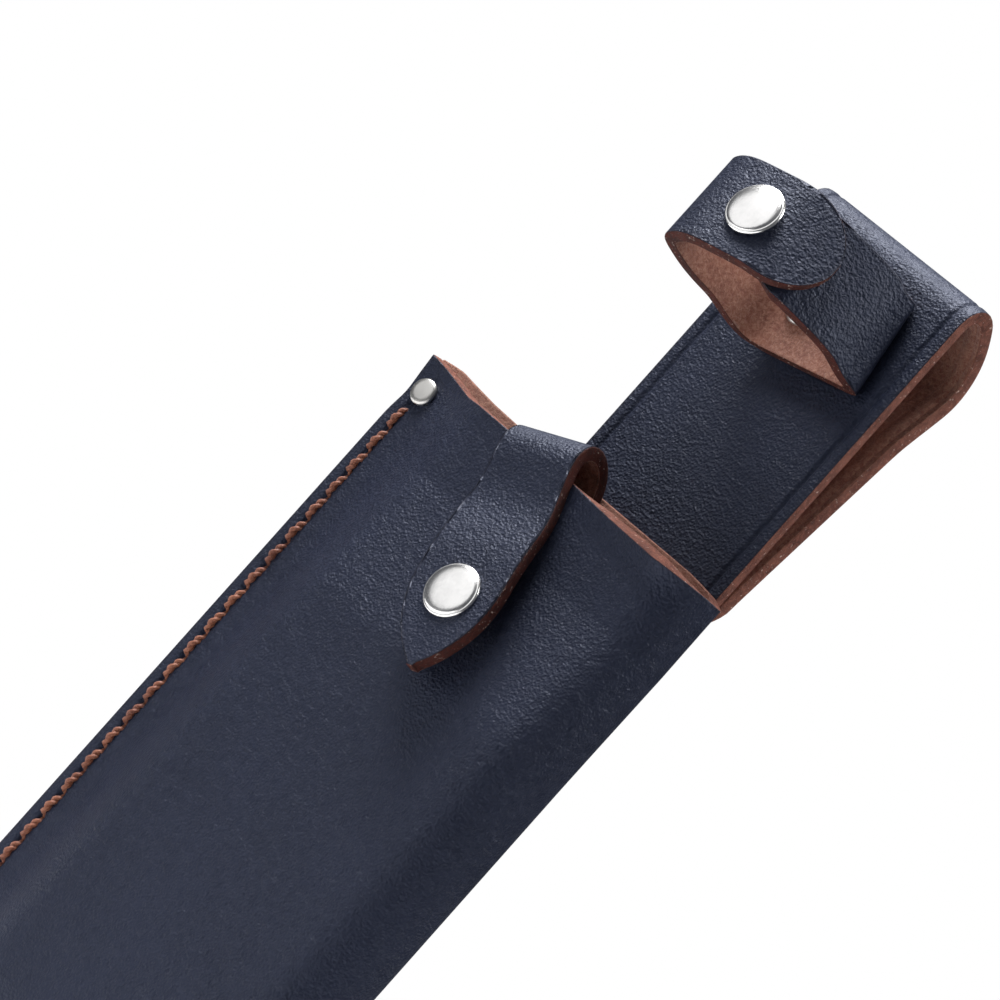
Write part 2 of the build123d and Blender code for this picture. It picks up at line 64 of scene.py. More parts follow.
body_w = 75.9
body_len = 205.0
fold_x = 23.8
seam_x = fold_x - body_w
belly_end_drop = 120.0
stitched_w = 6.4
slope_w = 16.0
seam_n = 2 * leather
tip_r = 3.0
fold_front_r = 9.0
fold_back_r = 4.0
belly_depth = 14.25
depth_marks = ((0, 12.0), (14, 11.3), (38, 14.25), (120, 14.25), (198, 5.0), (205, 5.0))

stitch_in = 2.75
stitch_pitch = 5.1
first_stitch_drop = 6.9
stitch_count = 45

strap_w = 40.0
strap_tail = 34.0
crease_in = 2.5
crease_depth = 0.36
foot_taper = 0.15  # share of its width that the strap loses below the mouth
loop_skew = 1.5  # how much higher the loop's left side stands

guard_w = 17.0
guard_neck_w = 15.2  # where it comes over the mouth
guard_slant = radians(19.0)
guard_lean = radians(7.0)
guard_snap_x = -6.5
guard_snap_drop = 25.6
guard_bend = (8.8, -0.8)
guard_bend_r = 6.3
guard_root_drop = 32.0
guard_run = 41.075
guard_point_len = 16.5
guard_dip = 1.7  # how far its leg sinks towards the pocket

band_h = 17.8
band_rise = 47.1
band_front = 24.8
band_snap_x = -7.0
snap_stack = 3.1

front = Vector((0, -1, 0))
side = Vector((1, 0, 0))


def spot(x, n, rise):
    """A point of the sheath from its x, its distance n to the front and its rise above the mouth."""
    return Vector((x, strap_y - n, mouth_z + rise))


def ease(share):
    """A smooth step from 0 to 1."""
    share = min(max(share, 0.0), 1.0)
    return share * share * (3 - 2 * share)


def hump(distance, width):
    """A soft bump: 1 in its middle, and almost 0 two widths away."""
    return exp(-((distance / width) ** 2))


def between(value, marks):
    """The height of a line through the marks."""
    if value <= marks[0][0]:
        return marks[0][1]
    for (low, start), (high, end) in zip(marks, marks[1:]):
        if value <= high:
            return start + (end - start) * (value - low) / (high - low)
    return marks[-1][1]


# ---- Lines that the leather follows --------------------------------------------------------------


class Route:
    """A flat line that is walked by its length."""

    def __init__(self, points):
        self.points = [Vector(point) for point in points]
        self.marks = [0.0]
        for start, end in zip(self.points, self.points[1:]):
            self.marks.append(self.marks[-1] + (end - start).length)
        self.length = self.marks[-1]

    def at(self, run):
        """The point a run along the line, and the line's heading there."""
        i = min(max(bisect_right(self.marks, run), 1), len(self.marks) - 1)
        start, end = self.points[i - 1], self.points[i]
        share = (run - self.marks[i - 1]) / (self.marks[i] - self.marks[i - 1])
        return start.lerp(end, share), (end - start).normalized()


def walk(start, heading, *moves):
    """Points along straight runs and bends: a move is a length, or a radius and the degrees to the left."""
    place, angle = Vector(start), radians(heading)
    points = [place.copy()]
    for move in moves:
        if isinstance(move, tuple):
            radius, turn = move[0], radians(move[1])
            steps = max(2, round(radius * abs(turn) / 0.5))
            step = turn / steps
            for _ in range(steps):
                middle = angle + step / 2
                place += Vector((cos(middle), sin(middle))) * 2 * radius * sin(abs(step) / 2)
                angle += step
                points.append(place.copy())
        else:
            place += Vector((cos(angle), sin(angle))) * move
            points.append(place.copy())
    return points


def rounded(corners, radii):
    """Points along straight lines whose corners are rounded."""
    corners = [Vector(corner) for corner in corners]
    points = [corners[0]]
    for before, corner, after, radius in zip(corners, corners[1:], corners[2:], radii):
        coming, going = (corner - before).normalized(), (after - corner).normalized()
        turn = atan2(coming.x * going.y - coming.y * going.x, coming.dot(going))
        start = corner - coming * radius * tan(abs(turn) / 2)
        points += walk(start, degrees(atan2(coming.y, coming.x)), (radius, degrees(turn)))
    return points + [corners[-1]]


def relaxed(points, passes):
    """The same line with its bends eased, as stiff leather does."""
    line = Route(points)
    count = round(line.length / 0.5)
    even = [line.at(line.length * i / count)[0] for i in range(count + 1)]
    for _ in range(passes):
        even[1:-1] = [(a + 2 * b + c) / 4 for a, b, c in zip(even, even[1:], even[2:])]
    return Route(even)


def rows_of(length, pitch, fine=(0.0, 0.3, 0.8)):
    """Row marks along a piece, close together at both its ends."""
    count = max(2, round((length - 2 * fine[-1]) / pitch))
    middle = [fine[-1] + (length - 2 * fine[-1]) * i / count for i in range(1, count)]
    return [*fine, *middle, *[length - mark for mark in reversed(fine)]]


# ---- Leather sheets ------------------------------------------------------------------------------


def keep_mesh(bm, name, *finishes):
    """The finished bmesh as a smooth object with its finishes."""
    mesh = bpy.data.meshes.new(name)
    bm.to_mesh(mesh)
    bm.free()
    piece = bpy.data.objects.new(name, mesh)
    bpy.context.scene.collection.objects.link(piece)
    for finish in finishes:
        mesh.materials.append(finish)
    for face in mesh.polygons:
        face.use_smooth = True
    return piece


def leather_sheet(name, runs, sides, lay, inside_out=False, edge=None):
    """A cut sheet of leather. lay gives the place of its grain face from a run and a side mark."""
    bm = bmesh.new()
    bmesh.ops.create_grid(bm, x_segments=len(sides) - 1, y_segments=len(runs) - 1, size=0.5)
    for vert in bm.verts:
        column = round((vert.co.x + 0.5) * (len(sides) - 1))
        row = round((vert.co.y + 0.5) * (len(runs) - 1))
        vert.co = lay(runs[row], sides[column]) * mm
    if inside_out:
        bmesh.ops.reverse_faces(bm, faces=bm.faces)
    border = [vert for vert in bm.verts if vert.is_boundary]
    tree = KDTree(len(border))
    for i, vert in enumerate(border):
        tree.insert(vert.co, i)
    tree.balance()
    from_edge = bm.verts.layers.float.new("from_edge")
    for vert in bm.verts:
        vert[from_edge] = tree.find(vert.co)[2] / mm
    sheet = keep_mesh(bm, name, grain, flesh, edge or cut_edge)
    wall = sheet.modifiers.new("thickness", "SOLIDIFY")
    wall.thickness = sheet_thickness * mm
    wall.offset = -1
    wall.material_offset = 1
    wall.material_offset_rim = 2
    rounding = sheet.modifiers.new("worn corners", "BEVEL")
    rounding.width = 0.22 * mm
    rounding.segments = 2
    rounding.angle_limit = radians(55)
    rounding.use_clamp_overlap = False
    return sheet


# ---- Finishes ------------------------------------------------------------------------------------


class Finish:
    """A material whose pattern is fixed to the piece."""

    def __init__(self, name, **shader):
        self.material = bpy.data.materials.new(name)
        self.material.use_nodes = True
        self.shader = self.material.node_tree.nodes["Principled BSDF"]
        for socket, value in shader.items():
            self.shader.inputs[socket.replace("_", " ")].default_value = value
        self.place = self.node("TexCoord").outputs["Object"]

    def node(self, kind, **settings):
        node = self.material.node_tree.nodes.new("ShaderNode" + kind)
        for name, value in settings.items():
            setattr(node, name, value)
        return node

    def join(self, start, end):
        if isinstance(start, bpy.types.NodeSocket):
            self.material.node_tree.links.new(start, end)
        else:
            end.default_value = start

    def noise(self, scale, detail=2.0, roughness=0.5, distortion=0.0, place=None):
        """Cloudy noise, with a scale in repeats to the metre."""
        node = self.node("TexNoise")
        self.join(place or self.place, node.inputs["Vector"])
        node.inputs["Scale"].default_value = scale
        node.inputs["Detail"].default_value = detail
        node.inputs["Roughness"].default_value = roughness
        node.inputs["Distortion"].default_value = distortion
        return node.outputs["Fac"]

    def cells(self, scale, smooth, place=None):
        """Round cells with a dip between them."""
        node = self.node("TexVoronoi", feature="SMOOTH_F1")
        self.join(place or self.place, node.inputs["Vector"])
        node.inputs["Scale"].default_value = scale
        node.inputs["Smoothness"].default_value = smooth
        return node.outputs["Distance"]

    def stretched(self, scale):
        """The piece's own coordinates, stretched by the scale of each axis."""
        node = self.node("Mapping")
        self.join(self.place, node.inputs["Vector"])
        node.inputs["Scale"].default_value = scale
        return node.outputs["Vector"]

    def range(self, value, low, high, to_low, to_high):
        """A value's range turned into another, and held inside it."""
        node = self.node("MapRange")
        for socket, given in zip(node.inputs, (value, low, high, to_low, to_high)):
            self.join(given, socket)
        return node.outputs["Result"]

    def sum(self, *parts):
        """Values added up, each as (value, share)."""
        total = 0.0
        for value, share in parts:
            node = self.node("Math", operation="MULTIPLY_ADD")
            self.join(value, node.inputs[0])
            node.inputs[1].default_value = share
            self.join(total, node.inputs[2])
            total = node.outputs[0]
        return total

    def blend(self, share, first, second):
        """One colour turning into another."""
        node = self.node("Mix", data_type="RGBA")
        self.join(share, node.inputs["Factor"])
        self.join((*first, 1) if isinstance(first, tuple) else first, node.inputs[6])
        self.join((*second, 1) if isinstance(second, tuple) else second, node.inputs[7])
        return node.outputs[2]

    def colour(self, value):
        self.join(value, self.shader.inputs["Base Color"])

    def roughness(self, value):
        self.join(value, self.shader.inputs["Roughness"])

    def relief(self, height, depth, strength=1.0):
        """Bumps of that depth, in metres, on the surface."""
        node = self.node("Bump")
        node.inputs["Strength"].default_value = strength
        node.inputs["Distance"].default_value = depth
        self.join(height, node.inputs["Height"])
        self.join(node.outputs["Normal"], self.shader.inputs["Normal"])


def grain_finish():
    """Navy grain: fine pebbles, soft wrinkles, and edges rubbed darker."""
    finish = Finish("navy_grain", Specular_IOR_Level=0.4, Specular_Tint=(0.68, 0.75, 1.0, 1.0))
    clouds = finish.noise(45, 4, 0.6)
    mottle = finish.noise(650, 3, 0.6)
    navy = finish.blend(finish.range(clouds, 0.3, 0.7, 0, 1), (0.0062, 0.0082, 0.0185),
                        (0.0088, 0.0115, 0.0255))
    navy = finish.blend(finish.range(mottle, 0.35, 0.75, 0, 0.4), navy, (0.014, 0.018, 0.036))
    border = finish.node("Attribute", attribute_name="from_edge").outputs["Fac"]
    ragged = finish.sum((border, 1.0), (finish.noise(500, 4, 0.7), 0.7))
    finish.colour(finish.blend(finish.range(ragged, 0.35, 1.1, 0.6, 0), navy, (0.010, 0.008, 0.011)))
    pebbles = finish.cells(1900, 0.5)
    creases = finish.noise(620, 5, 0.62, 1.0)
    finish.roughness(finish.range(finish.sum((mottle, 0.6), (creases, 0.4)), 0.3, 0.7, 0.42, 0.62))
    pores = finish.noise(3600, 2, 0.5)
    finish.relief(finish.sum((pebbles, 0.6), (creases, 1.2), (pores, 0.4)), 0.00029, 0.85)
    return finish.material


def flesh_finish():
    """The brown flesh side, with loose fibres."""
    finish = Finish("brown_flesh", Specular_IOR_Level=0.2, Sheen_Weight=0.25, Sheen_Roughness=0.5)
    clouds = finish.noise(130, 5, 0.65)
    nap = finish.noise(1500, 6, 0.75, 0.6)
    brown = finish.blend(finish.range(clouds, 0.3, 0.7, 0, 1), (0.155, 0.05, 0.032), (0.31, 0.12, 0.077))
    finish.colour(finish.blend(finish.range(nap, 0.42, 0.72, 0, 0.8), brown, (0.58, 0.32, 0.23)))
    finish.roughness(finish.range(nap, 0.3, 0.7, 0.75, 0.95))
    finish.relief(finish.sum((nap, 1.0), (clouds, 0.6)), 0.0005, 0.9)
    return finish.material


def edge_finish(name, dark, light):
    """A cut edge: layered fibres between two tones, with pale fibre ends."""
    finish = Finish(name, Specular_IOR_Level=0.25)
    fibres = finish.noise(1100, 7, 0.75, 0.8)
    patches = finish.noise(230, 3, 0.6)
    brown = finish.blend(finish.range(patches, 0.32, 0.68, 0, 1), dark, light)
    pale = tuple(2.0 * part for part in light)
    brown = finish.blend(finish.range(fibres, 0.45, 0.75, 0, 0.8), brown, pale)
    ends = finish.noise(1500, 3, 0.7)
    finish.colour(finish.blend(finish.range(ends, 0.63, 0.7, 0, 0.7), brown, (0.75, 0.6, 0.52)))
    finish.roughness(finish.range(fibres, 0.3, 0.7, 0.6, 0.9))
    finish.relief(fibres, 0.0005, 0.9)
    return finish.material


def thread_finish():
    """Waxed reddish-brown thread, flecked with painted highlights."""
    finish = Finish("waxed_thread", Specular_IOR_Level=0.45, Sheen_Weight=0.15)
    fibres = finish.noise(2600, 5, 0.7, 0.5)
    tone = finish.noise(90, 2, 0.5)
    brown = finish.blend(finish.range(tone, 0.35, 0.65, 0, 1), (0.15, 0.036, 0.016), (0.27, 0.085, 0.04))
    # Where the fibre noise is high, the thread is blended towards a pale orange that is a painted highlight.
    finish.colour(finish.blend(finish.range(fibres, 0.45, 0.75, 0, 0.7), brown, (0.46, 0.19, 0.11)))
    finish.roughness(finish.range(fibres, 0.3, 0.7, 0.4, 0.65))
    finish.relief(fibres, 0.00018, 0.8)
    return finish.material


def metal_finish(name, colour, rough, scratch):
    """Metal with a haze of fine scratches."""
    finish = Finish(name, Metallic=1.0)
    haze = finish.noise(400, 5, 0.7)
    lines = finish.noise(1, 3, 0.6, place=finish.stretched((5200, 420, 900)))
    dull = tuple(0.82 * part for part in colour)
    finish.colour(finish.blend(finish.range(haze, 0.4, 0.75, 0, 0.6), colour, dull))
    finish.roughness(finish.range(finish.sum((haze, 0.6), (lines, 0.4)), 0.3, 0.7, rough, rough + scratch))
    finish.relief(lines, 0.00003, 0.25)
    return finish.material


grain = grain_finish()
flesh = flesh_finish()
cut_edge = edge_finish("cut_edge", (0.07, 0.02, 0.014), (0.19, 0.073, 0.05))
dyed_edge = edge_finish("dyed_edge", (0.025, 0.005, 0.004), (0.08, 0.02, 0.014))
waxed_thread = thread_finish()
nickel = metal_finish("polished_nickel", (0.88, 0.87, 0.86), 0.2, 0.07)
satin = metal_finish("satin_metal", (0.55, 0.54, 0.52), 0.26, 0.14)
brass = metal_finish("spring_brass", (0.78, 0.58, 0.27), 0.2, 0.12)

# ---- Pocket: one sheet, folded on the right and stitched on the left -------------------------------

tip_x = fold_x - tip_r
curve_w = tip_x - seam_x
curve_len = body_len - belly_end_drop
seam_points = [(seam_x, 0.0), (seam_x, belly_end_drop)]
for i in range(1, 241):
    angle = radians(90) * i / 240
    seam_points.append((tip_x - curve_w * cos(angle), belly_end_drop + curve_len * sin(angle)))
for i in range(1, 7):
    angle = radians(90) * i / 9
    seam_points.append((tip_x + tip_r * sin(angle), body_len - tip_r + tip_r * cos(angle)))
seam = Route(seam_points)

seam_pitch = 0.2
seam_tree = KDTree(int(seam.length / seam_pitch) + 1)
for i in range(int(seam.length / seam_pitch) + 1):
    seam_tree.insert((*seam.at(i * seam_pitch)[0], 0), i)
seam_tree.balance()

corner_rivet = (seam_x + 3.8, 3.5)
full_row = fold_x - fold_front_r - seam_x
near_w = 8.0
level_rows = 60.0
groove_width = 0.62
mouth_rise_front = ((seam_x, 2.5), (-48, 2.0), (-43, 1.2), (-37, 0.4), (-27, 0.3), (-8, 0.3), (3, -0.4),
                    (15, -0.8), (20, -0.4), (fold_x, 0.1))
mouth_rise_back = ((seam_x, 3.1), (-47, 3.5), (-38, 2.7), (-25, 2.2), (15, 1.8), (20, 1.2), (fold_x, 0.1))
lip_flare = ((seam_x, 0.5), (-44, 0.6), (-36, 0.5), (-24, 0.1), (-6, 0.1), (1, 1.1), (16, 1.9), (21, 1.2),
             (fold_x, 0.2))
lip_drop = 5.5  # how far down the front lip flares
mouth_fade = 9.0  # how quickly the mouth's waves die away below it
rivet_press = 0.3  # how deep a rivet presses into the leather


def along_row(mark, width):
    """Where a column mark of a full row falls on a narrower one, true to size near the seam."""
    near = near_w * min(1.0, width / (2 * near_w))
    if mark <= near_w:
        return mark * near / near_w
    return near + (mark - near_w) * (width - near) / (full_row - near_w)


def stitched_dip(from_seam, run):
    """How deep the stitching pulls the leather in."""
    if run < first_stitch_drop - 2 or run > first_stitch_drop + stitch_count * stitch_pitch + 1.5:
        return 0.0
    across = hump(from_seam - stitch_in, groove_width)
    hole = (run - first_stitch_drop) / stitch_pitch
    to_hole = abs(hole - round(hole)) * stitch_pitch
    return across * (0.3 + 0.8 * hump(to_hole, 0.85))


def front_panel_n(x, drop, from_seam):
    """How far out the front panel stands."""
    depth = between(drop, depth_marks)
    rise = ease((from_seam - stitched_w + 1.0) / (slope_w + 1.0))
    return seam_n + (depth - seam_n) * rise


def lay_body(run, column):
    """A point of the pocket's outer face. Columns run from the front seam (0), round the fold (1 to 3),
    to the back seam (4); whole marks are joined by millimetre marks of a full row."""
    part, mark = column
    at_seam = seam.at(run)[0]
    at_fold = run
    if run > level_rows:
        lowest = body_len - tip_r - 1.0
        at_fold = level_rows + (run - level_rows) * (lowest - level_rows) / (seam.length - level_rows)
    reach = fold_x - at_seam.x
    front_r = min(fold_front_r, 0.45 * reach)
    back_r = min(fold_back_r, 0.3 * reach)
    if part in ("front", "front fold"):
        inner = Vector((fold_x - front_r, at_fold))
    else:
        inner = Vector((fold_x - back_r, at_fold))
    if part in ("front", "back"):
        width = (inner - at_seam).length
        flat = at_seam.lerp(inner, along_row(mark, width) / width)
    else:
        flat = inner
    x, drop = flat
    nearest = seam_tree.find((x, drop, 0))
    from_seam, seam_run = nearest[2], nearest[1] * seam_pitch
    depth = front_panel_n(fold_x - front_r, drop, 99.0)
    middle_n = depth * fold_back_r / belly_depth
    edge_n = front_panel_n(x, drop, from_seam)
    dip = stitched_dip(from_seam, seam_run)
    fade = exp(-drop / mouth_fade)
    if part == "front":
        n = edge_n - dip
        n -= rivet_press * hump(hypot(x - corner_rivet[0], drop - corner_rivet[1]), 3.0)
        rise = between(x, mouth_rise_front)
    elif part == "front fold":
        angle = mark * pi / 2
        x += front_r * sin(angle)
        n = middle_n + (edge_n - middle_n) * cos(angle)
        rise = between(x, mouth_rise_front)
    elif part == "back fold":
        angle = mark * pi / 2
        x += back_r * cos(angle)
        n = middle_n * (1 - sin(angle))
        rise = between(x, mouth_rise_back)
    else:
        n = dip
        n += rivet_press * hump(hypot(x - corner_rivet[0], drop - corner_rivet[1]), 3.0)
        rise = between(x, mouth_rise_back)
    if part in ("front", "front fold"):
        lip = max(0.0, 1 - drop / lip_drop) ** 2
        n += lip * between(x, lip_flare) * (cos(mark * pi / 2) if part == "front fold" else 1.0)
    waist = 0.45 * hump(drop - 6.5, 2.6) * hump(from_seam, 3.0)
    return spot(x + waist, n, rise * fade - drop)


near_marks = [0.0, 0.3, 0.8, 1.4, 1.85, 2.2, 2.5, 2.75, 3.0, 3.3, 3.65, 4.1, 4.8, 5.6, 6.4, 7.2]
slope_marks = [near_w + 1.4 * i for i in range(12)]
wide_marks = [slope_marks[-1] + (full_row - slope_marks[-1]) * i / 26 for i in range(1, 26)]
row_marks = near_marks + slope_marks + wide_marks
body_columns = [("front", mark) for mark in row_marks]
body_columns += [("front fold", i / 9) for i in range(10)]
body_columns += [("back fold", i / 7) for i in range(1, 8)]
body_columns += [("back", mark) for mark in reversed(row_marks)]
body_runs = [0.0, 0.25, 0.6, 1.1, 1.7, 2.4] + [2.4 + (seam.length - 2.4) * i / 238 for i in range(1, 239)]

pocket = leather_sheet("pocket", body_runs, body_columns, lay_body, True)
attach(pocket, "sheath")
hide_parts("sheath_body")

# ---- Belt strap ----------------------------------------------------------------------------------

contact_y = strap_y + 2 * leather + 0.1
strap_end = Vector((contact_y, mouth_z - strap_tail))
front_leg = 94.0
back_lean = 9.5  # degrees, the lower back leg
close_r = 40
loop_moves = [front_leg, (5, -132), 2.7, (14, -48), (10, -18), 8.0, (20, 8.5)]
loop_points = walk((strap_y, mouth_z - strap_tail), 90, *loop_moves)
close_turn = close_r * (1 - cos(radians(back_lean)))
back_leg = (loop_points[-1].x - contact_y - close_turn) / sin(radians(back_lean))
loop_moves += [back_leg, (close_r, back_lean)]
strap_points = walk((strap_y, mouth_z - strap_tail), 90, *loop_moves) + [strap_end]
strap_line = relaxed(strap_points, 12)


def lay_strap(run, x):
    """A point of the belt strap's grain face, with a creased line near both edges."""
    place, heading = strap_line.at(run)
    inward = Vector((heading.y, -heading.x))
    crease = crease_depth * hump(abs(x) - (strap_w / 2 - crease_in), 0.42)
    swell = 0.12 * ease((abs(x) - 16.2) / 1.3) * (1 - crease)
    curl = 0.22 * max(0.0, (abs(x) - 15) / 5) ** 2
    y, z = place + inward * (crease + curl - swell)
    foot = 1 - foot_taper * ease((mouth_z + 1.5 - z) / 8)
    z += loop_skew * (strap_w / 2 - x) / strap_w * ease((z + 30) / 28)
    return Vector((x * foot, y, z))


half_strap = [0.0, 2, 4, 6, 8, 10, 12, 14, 15.4, 16.2, 16.7, 17.0, 17.2, 17.4, 17.6, 17.8, 18.1, 18.6, 19.2,
              19.7, 20]
strap_columns = [-mark for mark in reversed(half_strap[1:])] + half_strap
belt = leather_sheet("belt_loop_strap", rows_of(strap_line.length, 1.1), strap_columns, lay_strap)
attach(belt, "sheath")
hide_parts("belt_strap")

# ---- Guard strap ---------------------------------------------------------------------------------

guard_side = Vector((cos(guard_slant), 0, sin(guard_slant)))
guard_up = Vector((-sin(guard_slant), 0, cos(guard_slant)))
guard_origin = spot(guard_snap_x - guard_snap_drop * tan(guard_slant), 0, 0)
guard_root_len = guard_root_drop + guard_bend[1]
guard_leg_len = (guard_run + guard_bend[1]) / cos(guard_lean) + guard_bend_r * tan(guard_lean)
guard_turn = degrees(guard_lean) - 180
guard_line = relaxed(walk((leather, -guard_root_drop), 90, guard_root_len, (guard_bend_r, guard_turn),
                          guard_leg_len), 8)
guard_end_r = (guard_point_len ** 2 + (guard_w / 2) ** 2) / guard_w


def guard_place(n, along, across):
    """A point of the guard strap from its side view and its distance across."""
    return guard_origin + front * n + guard_up * along + guard_side * across


def lay_guard(run, share):
    """A point of the guard strap's grain face: narrow over the mouth, and close to the pocket below it."""
    n, along = guard_line.at(run)[0]
    leg = ease((run - guard_root_len - 9) / 6)
    narrow = ease((run - 14) / 12) * (1 - ease((-along - 3) / 11) * leg)
    half = guard_w / 2 + (guard_neck_w - guard_w) / 2 * narrow
    n -= guard_dip * leg * hump(-along - 8.5, 7.5)
    past = guard_point_len - guard_run - along
    if run > guard_root_len + 10 and past > 0:
        half = max(0.7, half - guard_end_r + sqrt(max(0.0, guard_end_r ** 2 - past ** 2)))
    return guard_place(n, along, share * half)


strap_marks = [-1, -0.975, -0.92, -0.8, -0.6, -0.4, -0.2, 0, 0.2, 0.4, 0.6, 0.8, 0.92, 0.975, 1]
guard = leather_sheet("guard_strap", rows_of(guard_line.length, 0.9), strap_marks, lay_guard, True,
                      dyed_edge)
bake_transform(guard)
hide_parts("guard_strap_root", "guard_strap_flap")

# ---- Handle band ---------------------------------------------------------------------------------

band_x = Vector((0.986054, 0.018594, 0.165382))
band_out = Vector((-0.018594, -0.975208, 0.22051))
band_up = Vector((-0.165382, 0.22051, 0.961262))
band_middle = spot(0, 0, band_rise)
base_turn = atan2(band_x.z, band_x.x)
base_x = Vector((cos(base_turn), 0, sin(base_turn)))
base_up = Vector((-sin(base_turn), 0, cos(base_turn)))


def band_place(x, n, along):
    """A point of the handle band: flat on the belt strap at its foot, and tilted further out."""
    flat = base_x * x + front * n + base_up * along
    tilted = band_x * x + band_out * n + band_up * along
    return band_middle + flat.lerp(tilted, ease((n - 1.5) / 7))


under_n = band_front - leather - snap_stack
flap_line = relaxed(rounded([(11.6, 0), (-8.6, 0.1), (-19.4, 12.4), (-21.5, 20.4), (-15.9, band_front + 0.1),
                             (-2.4, band_front - 0.7), (3.0, 21.1), (7.7, 17.9)],
                            [9.0, 14.0, 3.4, 10.0, 9.0, 8.0]), 9)
catch_line = relaxed(rounded([(11.4, 0), (15.3, 0), (9.8, 10.8), (2.0, under_n - 0.4), (-13.5, under_n)],
                             [2.2, 18.0, 5.5]), 2)
round_x = 7.7 - band_h / 2


def lay_flap(run, share):
    """A point of the band's left arm and flap, whose end is round."""
    x, n = flap_line.at(run)[0]
    half = band_h / 2
    if n > 15 and x > round_x:
        half = max(1.2, sqrt(max(0.0, half ** 2 - (x - round_x) ** 2)))
    return band_place(x, n, share * half)


def lay_catch(run, share):
    """A point of the band's right arm and the part under the flap."""
    x, n = catch_line.at(run)[0]
    half = band_h / 2
    if n > 15:
        half -= 2.8 * ease((2 - x) / 8)
    return band_place(x, n, share * half)


flap_rows = rows_of(flap_line.length, 0.8, (0.0, 0.12, 0.3, 0.6))
band_flap = leather_sheet("handle_band_flap_side", flap_rows, strap_marks, lay_flap, True, dyed_edge)
catch_rows = rows_of(catch_line.length, 0.8)
band_catch = leather_sheet("handle_band_catch_side", catch_rows, strap_marks, lay_catch, edge=dyed_edge)
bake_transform(band_flap)
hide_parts("handle_band_flap")
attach(band_catch, "sheath")
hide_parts("handle_band")

# ---- Stitching -----------------------------------------------------------------------------------

ply_r = 0.48
ply_sides = 6
ply_offset = 0.34
ply_turns = 1.5
stitch_steps = 10
stitch_half = 2.5
stitch_arch = 1.3
stitch_sink = 1.05  # how far its ends lie below the leather's face
upright_ring = Matrix.Rotation(pi / 2, 4, "Y")


def twisted_stitch():
    """One stitch of two twisted plies, from hole to hole along x, with z out of the leather."""
    bm = bmesh.new()
    for ply in (0, 1):
        ring = None
        for step in range(stitch_steps + 1):
            share = step / stitch_steps
            x = stitch_half * (2 * share - 1)
            arch = stitch_arch * sin(pi * share) ** 0.6 - stitch_sink
            turn = pi * ply + 2 * pi * ply_turns * share
            middle = Vector((x, ply_offset * cos(turn), arch + ply_offset * sin(turn)))
            if ring is None:
                made = bmesh.ops.create_circle(bm, segments=ply_sides, radius=ply_r, matrix=upright_ring)
                ring = made["verts"]
                bmesh.ops.translate(bm, vec=middle, verts=ring)
            else:
                edges = list({edge for vert in ring for edge in vert.link_edges
                              if all(end in ring for end in edge.verts)})
                made = bmesh.ops.extrude_edge_only(bm, edges=edges)
                ring = [item for item in made["geom"] if isinstance(item, bmesh.types.BMVert)]
                bmesh.ops.translate(bm, vec=middle - last, verts=ring)
            last = middle
    bmesh.ops.holes_fill(bm, edges=[edge for edge in bm.edges if edge.is_boundary])
    bmesh.ops.recalc_face_normals(bm, faces=bm.faces)
    mesh = bpy.data.meshes.new("stitch")
    bm.to_mesh(mesh)
    bm.free()
    return mesh


def seam_thread(name, face_n, out, node):
    """The stitches of one side, each turned a little in its own way."""
    chance = random.Random(7)
    stitch = twisted_stitch()
    stitch_line = Route(inset_seam)
    bm = bmesh.new()
    for i in range(stitch_count):
        run = (i + 0.5) * stitch_pitch
        place, heading = stitch_line.at(run)
        lean = radians(-9 + chance.uniform(-3, 3))
        along = Vector((heading.x, 0, -heading.y))
        across = out.cross(along)
        along, across = along * cos(lean) + across * sin(lean), across * cos(lean) - along * sin(lean)
        turned = Matrix((along, across, out)).transposed().to_4x4()
        grown = Matrix.Diagonal((1, 1 + chance.uniform(-0.06, 0.06), 1 + chance.uniform(-0.1, 0.1), 1))
        at = Matrix.Translation(spot(place.x, face_n, -place.y))
        before = len(bm.verts)
        bm.from_mesh(stitch)
        bm.verts.ensure_lookup_table()
        new = [bm.verts[k] for k in range(before, len(bm.verts))]
        bmesh.ops.transform(bm, matrix=Matrix.Scale(mm, 4) @ at @ turned @ grown, verts=new)
    thread = keep_mesh(bm, name, waxed_thread)
    bpy.data.meshes.remove(stitch)
    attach(thread, "sheath")
    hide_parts(node)


inset_seam = [(seam_x + stitch_in, first_stitch_drop), (seam_x + stitch_in, belly_end_drop)]
for i in range(1, 121):
    angle = radians(90) * i / 120
    inset_seam.append((tip_x - (curve_w - stitch_in) * cos(angle),
                       belly_end_drop + (curve_len - stitch_in) * sin(angle)))
seam_thread("front_stitches", seam_n - 0.18, front, "seam_thread_front")
seam_thread("back_stitches", 0.18, -front, "seam_thread_back")

# ---- Turned hardware -----------------------------------------------------------------------------


def place_of(origin, x_dir, z_dir):
    """The frame of a turned piece, in millimetres."""
    z_dir, x_dir = z_dir.normalized(), x_dir.normalized()
    turned = Matrix((x_dir, z_dir.cross(x_dir), z_dir)).transposed().to_4x4()
    return Matrix.Translation(origin) @ turned


